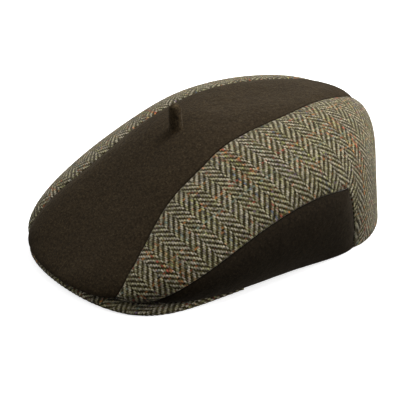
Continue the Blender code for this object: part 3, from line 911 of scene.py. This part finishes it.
def tweed_finish(name="tweed_cloth"):
    """Herringbone tweed: a two up two down twill of pale warp and dark weft that turns at
    every band, with a tone of its own at every crossing of yarns, slubs, a faint check and
    painted shade in the hollows at the edges of every float.

    A yarn's number is its place divided by the spacing, rounded down. Which yarn is on top
    goes by the sum of both numbers. The warp's is counted up in one band and down in the
    next, where the twill also starts half a repeat further on.
    """
    if name in bpy.data.materials:
        return bpy.data.materials[name]
    look = bpy.context.scene.cap_tweed
    f = Finish(bpy.data.materials.new(name))
    cloth = f.attribute("cloth", 1)
    wander = f.node("ShaderNodeVectorMath", {"operation": "SUBTRACT"},
                    {0: f.noise(cloth, *WANDER_NOISE, 1), 1: (0.5, 0.5, 0.5)})
    bent = f.moved(cloth, wander, YARN_WANDER)
    along = f.part(bent, 0)
    down = f.part(bent, 1)
    end = along / look.end
    pick = down / look.pick
    fold = end.maths("PINGPONG", float(look.ends))
    whole_end = end.maths("FLOOR")
    whole_pick = pick.maths("FLOOR")
    end_share = fold.maths("FRACT")
    pick_share = pick.maths("FRACT")
    cut = (end / look.ends).maths("FLOOR").maths("FLOORED_MODULO", 2.0) * (TWILL / 2)
    phase = (fold.maths("FLOOR") + whole_pick + cut).maths("FLOORED_MODULO", float(TWILL))
    warp_up = phase < TWILL / 2 - 0.5
    warp_high = hump(end_share, (phase + pick_share) / (TWILL / 2))
    weft_high = hump(pick_share, (phase - TWILL / 2 + end_share) / (TWILL / 2))
    height = warp_high * warp_up + weft_high * (1.0 - warp_up) * WEFT_RISE

    patches = f.step(f.noise(cloth, *PATCH_NOISE), *PATCH_STEP)
    warp = yarn_colour(f, WARP, whole_end, down, patches, look.light, look.olive)
    weft = yarn_colour(f, WEFT, whole_pick, along, patches, look.dark, look.brown)
    yarn = f.mix(warp_up, weft, warp)
    float_tone = f.node("ShaderNodeTexWhiteNoise", {"noise_dimensions": "3D"},
                        {"Vector": f.vector(whole_end, whole_pick, warp_up)})
    fibre = f.noise(cloth, *YARN_FIBRE_NOISE)
    region = f.noise(cloth, *REGION_NOISE)
    # Painted shade at the edges of every float and along the seams, times the random tones of
    # crossings, fibres and regions
    tone = (f.tone(height, FLOAT_HOLLOW_SHADE) * f.tone(float_tone, FLOAT_TONE)
            * f.tone(fibre, YARN_FIBRE_TONE) * f.tone(region, REGION_TONE)
            * f.painted_seam_shade(TWEED_SEAM_SHADE, TWEED_SEAM_SHADE_RUN))
    return f.finish(f.times(yarn, tone), f.tone(fibre, TWEED_ROUGHNESS),
                    height + fibre * YARN_FIBRE_RISE, TWEED_BUMP,
                    {"Sheen Weight": 0.20, "Sheen Roughness": 0.45, "Specular IOR Level": 0.10,
                     "Sheen Tint": (1.0, 0.92, 0.80)})


def hump(across, along):
    """Height of a float of yarn, the root of two factors: a parabola across it and a fourth
    power along it. It is round across and falls away at its two ends."""
    round_part = 1.0 - (across * 2.0 - 1.0) ** 2.0
    end_part = 1.0 - (along * 2.0 - 1.0) ** 4.0
    return (round_part * end_part).maths("MAXIMUM", 0.0).maths("SQRT")


def lumps(points, nap, rows):
    """Height of an uneven surface: soft noise at several sizes."""
    return sum(share * nap * soft_noise(points, size, seed) for size, share, seed in rows)


class PieceOperator:
    """What the operators that make a piece have in common."""
    bl_options = {"REGISTER", "UNDO"}


class CAP_OT_top_panel(PieceOperator, bpy.types.Operator):
    """The leaf shaped felt panel over the top, from the peak to the centre back."""
    bl_idname = "cap.top_panel"
    bl_label = "Top panel"

    def execute(self, context):
        """Rings from the panel's edge in to the apex, outside and inside."""
        sizes = context.scene.cap_cloth
        nap = context.scene.cap_felt.nap
        path = aside(seam(TOP_SEAM), even_shares(TOP_SEAM_POINTS), SEAM_GAP / 2)
        path = slid_on(path, 1, 0.0)
        path = slid_on(path[::-1], 0, math.pi)[::-1]
        hem = straight((0.0, 0.0), path[0], TOP_HEM_POINTS)
        half = np.concatenate([hem[:-1], path])
        edge_path = np.concatenate([half, half[-2:0:-1] * (-1.0, 1.0)])
        seams = [seam(TOP_SEAM), seam(TOP_SEAM) * (-1.0, 1.0)]
        hems = [straight(path[0] * (-1.0, 1.0), path[0])]

        def rings(count, relief):
            """Walls at rings that are crowded at the edge; the apex itself is left out."""
            share = crowded_shares(count, TOP_RUN)[:-len(EDGE_ROWS), None]
            climb = edge_path[None, :, 1] + share * (1.0 - edge_path[None, :, 1])
            theta = np.broadcast_to(edge_path[None, :, 0], climb.shape)
            return cloth_walls(theta, climb, seams, hems, 1, sizes, relief)

        outer, _, edge = rings(TOP_RINGS, lambda base, gap: felt_relief(base, gap, nap))
        inner, inner_edge = (part[::-1] for part in
                             rings(TOP_INNER_RINGS, lambda base, gap: 0.0)[1:])
        count = len(edge_path)
        rows = np.concatenate([inner, outer])
        quads = grid_quads(len(rows), count, True)
        under = len(rows) * count
        around = np.arange(count)
        after = (around + 1) % count
        last = (len(rows) - 1) * count
        poles = np.stack([np.full(count, under), after, around], -1).tolist()
        poles += np.stack([last + around, last + after, np.full(count, under + 1)], -1).tolist()
        points = np.concatenate([rows.reshape(-1, 3), inner[0].mean(0)[None],
                                 outer[-1].mean(0)[None]])
        edges = np.concatenate([inner_edge.ravel(), edge.ravel(), [1.0, 1.0]])
        dressed("felt_top_panel", points, quads.tolist() + poles, felt_finish("felt_cloth", 1.0),
                {"edge": edges}, "top_panel")
        return {"FINISHED"}


def felt_relief(base, gap, nap):
    """Height of the felt's unevenness, which fades out at an edge."""
    return lumps(base, nap, FELT_LUMPS) * smooth(gap / NAP_FADE)


class CAP_OT_side_panels(PieceOperator, bpy.types.Operator):
    """The two tweed panels, from the hem at the front round to the centre back."""
    bl_idname = "cap.side_panels"
    bl_label = "Side panels"

    def execute(self, context):
        """A panel ruled between the top seam and the ear seam, its drop and the hem."""
        sizes = context.scene.cap_cloth
        look = context.scene.cap_tweed
        grid = sizes.grid
        back = math.pi - SEAM_GAP / 2 / (TURN_SHARE * HALF_WIDTH)
        over, drop = ear_outline(SEAM_GAP / 2, grid)
        rear_hem = straight(drop[-1], (back, 0.0))
        hem = straight(drop[-1], (back, 0.0), steps_along(rear_hem, grid))
        lower = np.concatenate([slid_on(over, 1, 0.0), drop[1:], hem[1:]])
        along = run_lengths(crown(*lower.T))
        corner = along[len(over) - 1]
        shares = np.interp(along, (0.0, corner, along[-1]), (0.0, CORNER_SHARE, 1.0))
        upper = slid_on(aside(seam(TOP_SEAM), shares, -SEAM_GAP / 2), 1, 0.0)
        upper = slid_on(upper[::-1], 0, back)[::-1]
        seams = [seam(TOP_SEAM), seam(EAR_SEAM), ear_back(), centre_back()]
        hems = [straight(lower[0], upper[0]), rear_hem]
        for name, side in (("left", 1), ("right", -1)):
            points, faces, attributes = ruled_panel(
                lower, upper, SIDE_ROWS, SIDE_RUN, side, seams, hems, sizes,
                lambda base, gap, flat: look.rib * rib_height(flat, look) * smooth(gap / RIB_FADE),
                lambda places: as_woven(laid_flat(places)))
            dressed(f"tweed_side_panel_{name}", points, faces, tweed_finish(),
                    attributes, f"side_panel_{name}")
        return {"FINISHED"}


class CAP_OT_ear_panels(PieceOperator, bpy.types.Operator):
    """The two felt panels along the hem over the ears."""
    bl_idname = "cap.ear_panels"
    bl_label = "Ear panels"

    def execute(self, context):
        """A panel ruled between the hem and the ear seam."""
        sizes = context.scene.cap_cloth
        nap = context.scene.cap_felt.nap
        over, drop = ear_outline(-SEAM_GAP / 2, EAR_GRID)
        upper = slid_on(over, 1, EAR_POINT)
        lower = spaced(straight((upper[0, 0], 0.0), drop[-1]), even_shares(len(upper)))
        seams = [seam(EAR_SEAM), ear_back()]
        hems = [straight(lower[0], lower[-1]), straight(lower[0], upper[0])]
        for name, side in (("left", 1), ("right", -1)):
            points, faces, attributes = ruled_panel(
                lower, upper, EAR_ROWS, EAR_RUN, side, seams, hems, sizes,
                lambda base, gap, flat: felt_relief(base, gap, nap))
            dressed(f"felt_ear_panel_{name}", points, faces, felt_finish("felt_ear", EAR_TONE),
                    {"edge": attributes["edge"]}, f"ear_panel_{name}")
        return {"FINISHED"}


def peak_plan(phi):
    """Outer and inner edges of the peak in plan, by angle from the front: a squared ellipse
    and a plain one."""
    outer = np.stack([PEAK_HALF_WIDTH * np.sin(phi),
                      CROWN_Y + PEAK_ENDS_Y - PEAK_REACH * np.abs(np.cos(phi)) ** PEAK_SQUARE], -1)
    inner = np.stack([PEAK_INNER_HALF_WIDTH * np.sin(phi),
                      CROWN_Y + PEAK_ENDS_Y + PEAK_THICKNESS - PEAK_INNER_REACH * np.cos(phi)], -1)
    return outer, inner


def evenly(points, values, count):
    """Points evenly spaced along a line, with the value that goes with each."""
    length = run_lengths(points)
    places = np.linspace(0.0, length[-1], count)
    return between(places, length, points), between(places, length, values)


def head_polar(points):
    """Angle round the head and share of the half sizes, of points in plan."""
    across = points[..., 0] / HALF_WIDTH
    ahead = (CROWN_Y - points[..., 1]) / HALF_LENGTH
    return np.arctan2(across, ahead), np.hypot(across, ahead)


def peak_top(outer, inner, lift, thick, wall, place):
    """Height of the peak's upper side at a distance in from its outer edge: a straight rise to
    the hem, just under it along its wall, then a rise by a power of the way to the inner edge."""
    across = unit(inner - outer)
    width = np.linalg.norm(inner - outer, axis=-1)
    tries = even_shares(PEAK_HEM_SAMPLES)[None] * width[:, None]
    theta, share = head_polar(outer[:, None] + across[:, None] * tries[..., None])
    hem_share = round_head(1, theta)
    margin = PEAK_MARGIN / HALF_LENGTH
    first = (tries * (share > hem_share + margin)).max(1)
    last = (tries * (share > hem_share - (wall / HALF_WIDTH + margin))).max(1)
    theta, _ = head_polar(outer + across * place[:, None])
    level = hem_height(theta) - PEAK_CLEARANCE
    reach = np.clip(place / np.maximum(first, TINY), 0.0, 1.0)
    inward = np.clip((place - last) / np.maximum(width - last, TINY), 0.0, 1.0)
    rise = PEAK_INNER_RISE * smooth(width / PEAK_FULL_WIDTH) * inward ** PEAK_RISE_POWER
    return (lift + thick) * (1.0 - reach) + level * reach + rise


class CAP_OT_peak(PieceOperator, bpy.types.Operator):
    """The stiff tweed peak under the front of the crown."""
    bl_idname = "cap.peak"
    bl_label = "Peak"

    def execute(self, context):
        """A closed section, carried from one end of the peak to the other."""
        sizes = context.scene.cap_cloth
        look = context.scene.cap_tweed
        phi = np.linspace(-math.pi / 2, math.pi / 2, PEAK_PLAN_SAMPLES)
        plan_outer, plan_inner = peak_plan(phi)
        outer, angle = evenly(plan_outer, phi, PEAK_COLUMNS)
        inner, _ = evenly(plan_inner, phi, PEAK_COLUMNS)
        across = unit(inner - outer)
        width = np.linalg.norm(inner - outer, axis=-1)
        lift = PEAK_LIFT * smooth(1.0 - np.abs(np.degrees(angle)) / PEAK_LEVEL_ANGLE)
        theta, _ = head_polar(outer)
        thick = np.minimum(PEAK_THICKNESS, hem_height(theta) - PEAK_CLEARANCE - lift)
        stations = even_shares(PEAK_STATIONS)[1:] ** PEAK_CROWDING
        profile = np.array(PEAK_EDGE)
        steps = np.linalg.norm(np.diff(profile, axis=0), axis=1)
        edge = curve_through(profile, steps, PEAK_EDGE_POINTS)

        def line_of(share, start, below):
            """A line along the peak: how far in it is, and its height less the thickness below."""
            place = start * thick + share * (width - start * thick)
            top = peak_top(outer, inner, lift, thick, sizes.wall, place)
            return place, top - below * thick

        loop = [line_of(share, edge[0, 0], 1.0) for share in stations[::-1]]
        loop += [(inward * thick, lift + up * thick) for inward, up in edge]
        loop += [line_of(share, edge[-1, 0], 0.0) for share in stations]
        place, height = (np.stack(part) for part in zip(*loop))
        points = np.concatenate([outer[None] + across[None] * place[..., None],
                                 height[..., None]], -1)
        round_run = run_lengths(points)
        tip = len(stations) + len(edge) // 2
        flat = outer[None] + across[None] * (round_run - round_run[tip])[..., None]
        way = np.gradient(points, axis=1)
        up_way = np.gradient(points, axis=0)
        normal = unit(np.cross(up_way, way) + FAINT)
        ends = np.minimum(run_lengths(outer), run_lengths(outer[::-1])[::-1])
        fade = smooth(ends / PEAK_RIB_FADE)
        relief = look.rib * PEAK_RIB_SHARE * rib_height(flat, look) * fade[None]
        points = points + normal * relief[..., None]
        points[..., 2] = np.maximum(points[..., 2], 0.0)
        faces = [face[::-1] for face in sleeve_faces(len(points), points.shape[1])]
        dressed("tweed_peak", points.reshape(-1, 3), faces, tweed_finish(),
                {"cloth": on_cloth(flat), "edge": np.ones(flat[..., 0].size)}, "peak")
        return {"FINISHED"}


class CAP_OT_stem(PieceOperator, bpy.types.Operator):
    """The short felt stem on the centre line."""
    bl_idname = "cap.stem"
    bl_label = "Stem"

    def execute(self, context):
        """Rings round a line that starts square to the felt and turns upright."""
        nap = context.scene.cap_felt.nap
        base = dented(np.array([0.0]), np.array([STEM_CLIMB]))[0]
        normal = outward(np.array([0.0]), np.array([STEM_CLIMB]))[0]
        rows = np.array(STEM)
        profile = curve_through(rows, np.hypot(*np.diff(rows, axis=0).T), STEM_RINGS)
        lean = smooth(profile[:, 0] / STEM_TURN)[:, None]
        axis = unit(normal * (1.0 - lean) + np.array([0.0, 0.0, 1.0]) * lean)
        ahead = unit(np.cross((1.0, 0.0, 0.0), axis))
        across = np.cross(ahead, axis)
        turn = np.arange(STEM_SIDES) * (2.0 * math.pi / STEM_SIDES)
        ring = (np.cos(turn)[None, :, None] * across[:, None]
                + np.sin(turn)[None, :, None] * ahead[:, None])
        middle = base - normal * STEM_SINK + np.outer(profile[:, 0] * STEM_HEIGHT, (0.0, 0.0, 1.0))
        points = middle[:, None] - ring * (profile[:, 1] * STEM_DIAMETER)[:, None, None]
        points = points - ring * lumps(points, nap, STEM_LUMPS)[..., None]
        quads = grid_quads(STEM_RINGS, STEM_SIDES, True).tolist()
        last = (STEM_RINGS - 1) * STEM_SIDES
        caps = [list(range(STEM_SIDES - 1, -1, -1)), list(range(last, last + STEM_SIDES))]
        points = points.reshape(-1, 3)
        dressed("felt_stem", points, quads + caps, felt_finish("felt_stub", STEM_TONE),
                {"edge": np.ones(len(points))}, "stem")
        return {"FINISHED"}


class CAP_OT_stage(bpy.types.Operator):
    """The floor, the light and the camera."""
    bl_idname = "cap.stage"
    bl_label = "Stage"

    def execute(self, context):
        """A wide pale floor, soft lights above and behind, and the photograph's camera."""
        look = context.scene.cap_stage
        mesh = bpy.data.meshes.new("floor")
        corners = [(x * FLOOR_HALF, y * FLOOR_HALF, 0.0)
                   for x, y in ((-1, -1), (1, -1), (1, 1), (-1, 1))]
        mesh.from_pydata(corners, [], [(0, 1, 2, 3)])
        pale = Finish(bpy.data.materials.new("floor"))
        place = pale.node("ShaderNodeTexCoord", {}, {}, 3)
        across = pale.part(place, 0) / HIDDEN_FLOOR[0]
        ahead = (pale.part(place, 1) - CROWN_Y) / HIDDEN_FLOOR[1]
        outside = pale.step(across ** 2.0 + ahead ** 2.0, HIDDEN_FADE, 1.0)
        pale.shade({"Base Color": look.floor, "Roughness": 0.9, "Emission Strength": look.glow,
                    "Emission Color": pale.vector(outside, outside, outside)})
        mesh.materials.append(pale.owner)
        floor = bpy.data.objects.new("floor", mesh)
        context.scene.collection.objects.link(floor)
        # The white floor throws no light back on the cap, whose lower parts stay dark
        floor.visible_diffuse = False
        floor.visible_glossy = False

        sky = Finish(bpy.data.worlds.new("studio"), "Background")
        height = sky.part(sky.node("ShaderNodeTexCoord", {}, {}, 0), 2)
        light = sky.node("ShaderNodeMapRange", {},
                         {"Value": height, "From Min": HORIZON, "To Min": HORIZON_LIGHT})
        sky.shade({"Color": light, "Strength": look.ambient})
        context.scene.world = sky.owner

        for name, place, size, power in LIGHTS:
            lamp = bpy.data.lights.new(name, "AREA")
            lamp.shape = "DISK"
            lamp.size = size
            lamp.energy = power
            light = bpy.data.objects.new(name, lamp)
            aim = (Vector(CAMERA_TARGET) - Vector(place)).to_track_quat("-Z", "Y")
            light.matrix_world = Matrix.Translation(place) @ aim.to_matrix().to_4x4()
            context.scene.collection.objects.link(light)

        a = math.radians(CAMERA_AZIMUTH)
        e = math.radians(CAMERA_ELEVATION)
        roll = math.radians(CAMERA_ROLL)
        back = Vector((math.sin(a) * math.cos(e), -math.cos(a) * math.cos(e), math.sin(e)))
        right = Vector((math.cos(a), math.sin(a), 0.0))
        up = back.cross(right)
        right, up = (right * math.cos(roll) + up * math.sin(roll),
                     up * math.cos(roll) - right * math.sin(roll))
        lens = bpy.data.cameras.new("camera")
        lens.lens = CAMERA_LENS
        lens.sensor_width = CAMERA_SENSOR
        lens.shift_x, lens.shift_y = CAMERA_SHIFT
        camera = bpy.data.objects.new("camera", lens)
        place = Vector(CAMERA_TARGET) + back * CAMERA_DISTANCE
        turn = Matrix((right, up, back)).transposed().to_4x4()
        camera.matrix_world = Matrix.Translation(place) @ turn
        context.scene.collection.objects.link(camera)
        context.scene.camera = camera
        context.scene.view_settings.view_transform = "Standard"
        return {"FINISHED"}


class CAP_PT_sidebar(bpy.types.Panel):
    """The cap's pieces and settings, in the 3D view's sidebar."""
    bl_idname = "CAP_PT_sidebar"
    bl_label = "Flat cap"
    bl_space_type = "VIEW_3D"
    bl_region_type = "UI"
    bl_category = "Flat cap"

    def draw(self, context):
        """A button for each operator, then every setting."""
        for operator in OPERATORS:
            self.layout.operator(operator.bl_idname)
        for title, kind in GROUPS:
            group = getattr(context.scene, title)
            for name in kind.__annotations__:
                self.layout.prop(group, name)


GROUPS = (("cap_cloth", ClothSizes), ("cap_felt", FeltLook), ("cap_tweed", TweedLook),
          ("cap_stage", StageLook))
OPERATORS = (CAP_OT_top_panel, CAP_OT_side_panels, CAP_OT_ear_panels, CAP_OT_peak, CAP_OT_stem,
             CAP_OT_stage)
CLASSES = tuple(kind for _, kind in GROUPS) + OPERATORS + (CAP_PT_sidebar,)


def register():
    """Register the classes and give every scene its settings."""
    for kind in CLASSES:
        bpy.utils.register_class(kind)
    for title, kind in GROUPS:
        setattr(bpy.types.Scene, title, bpy.props.PointerProperty(type=kind))


def unregister():
    """Undo what register did."""
    for title, _ in GROUPS:
        delattr(bpy.types.Scene, title)
    for kind in reversed(CLASSES):
        bpy.utils.unregister_class(kind)


def main():
    """Make every piece and the stage."""
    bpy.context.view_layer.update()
    register()
    bpy.ops.cap.top_panel()
    bpy.ops.cap.side_panels()
    bpy.ops.cap.ear_panels()
    bpy.ops.cap.peak()
    bpy.ops.cap.stem()
    bpy.ops.cap.stage()
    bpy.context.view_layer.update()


if __name__ == "__main__":
    main()
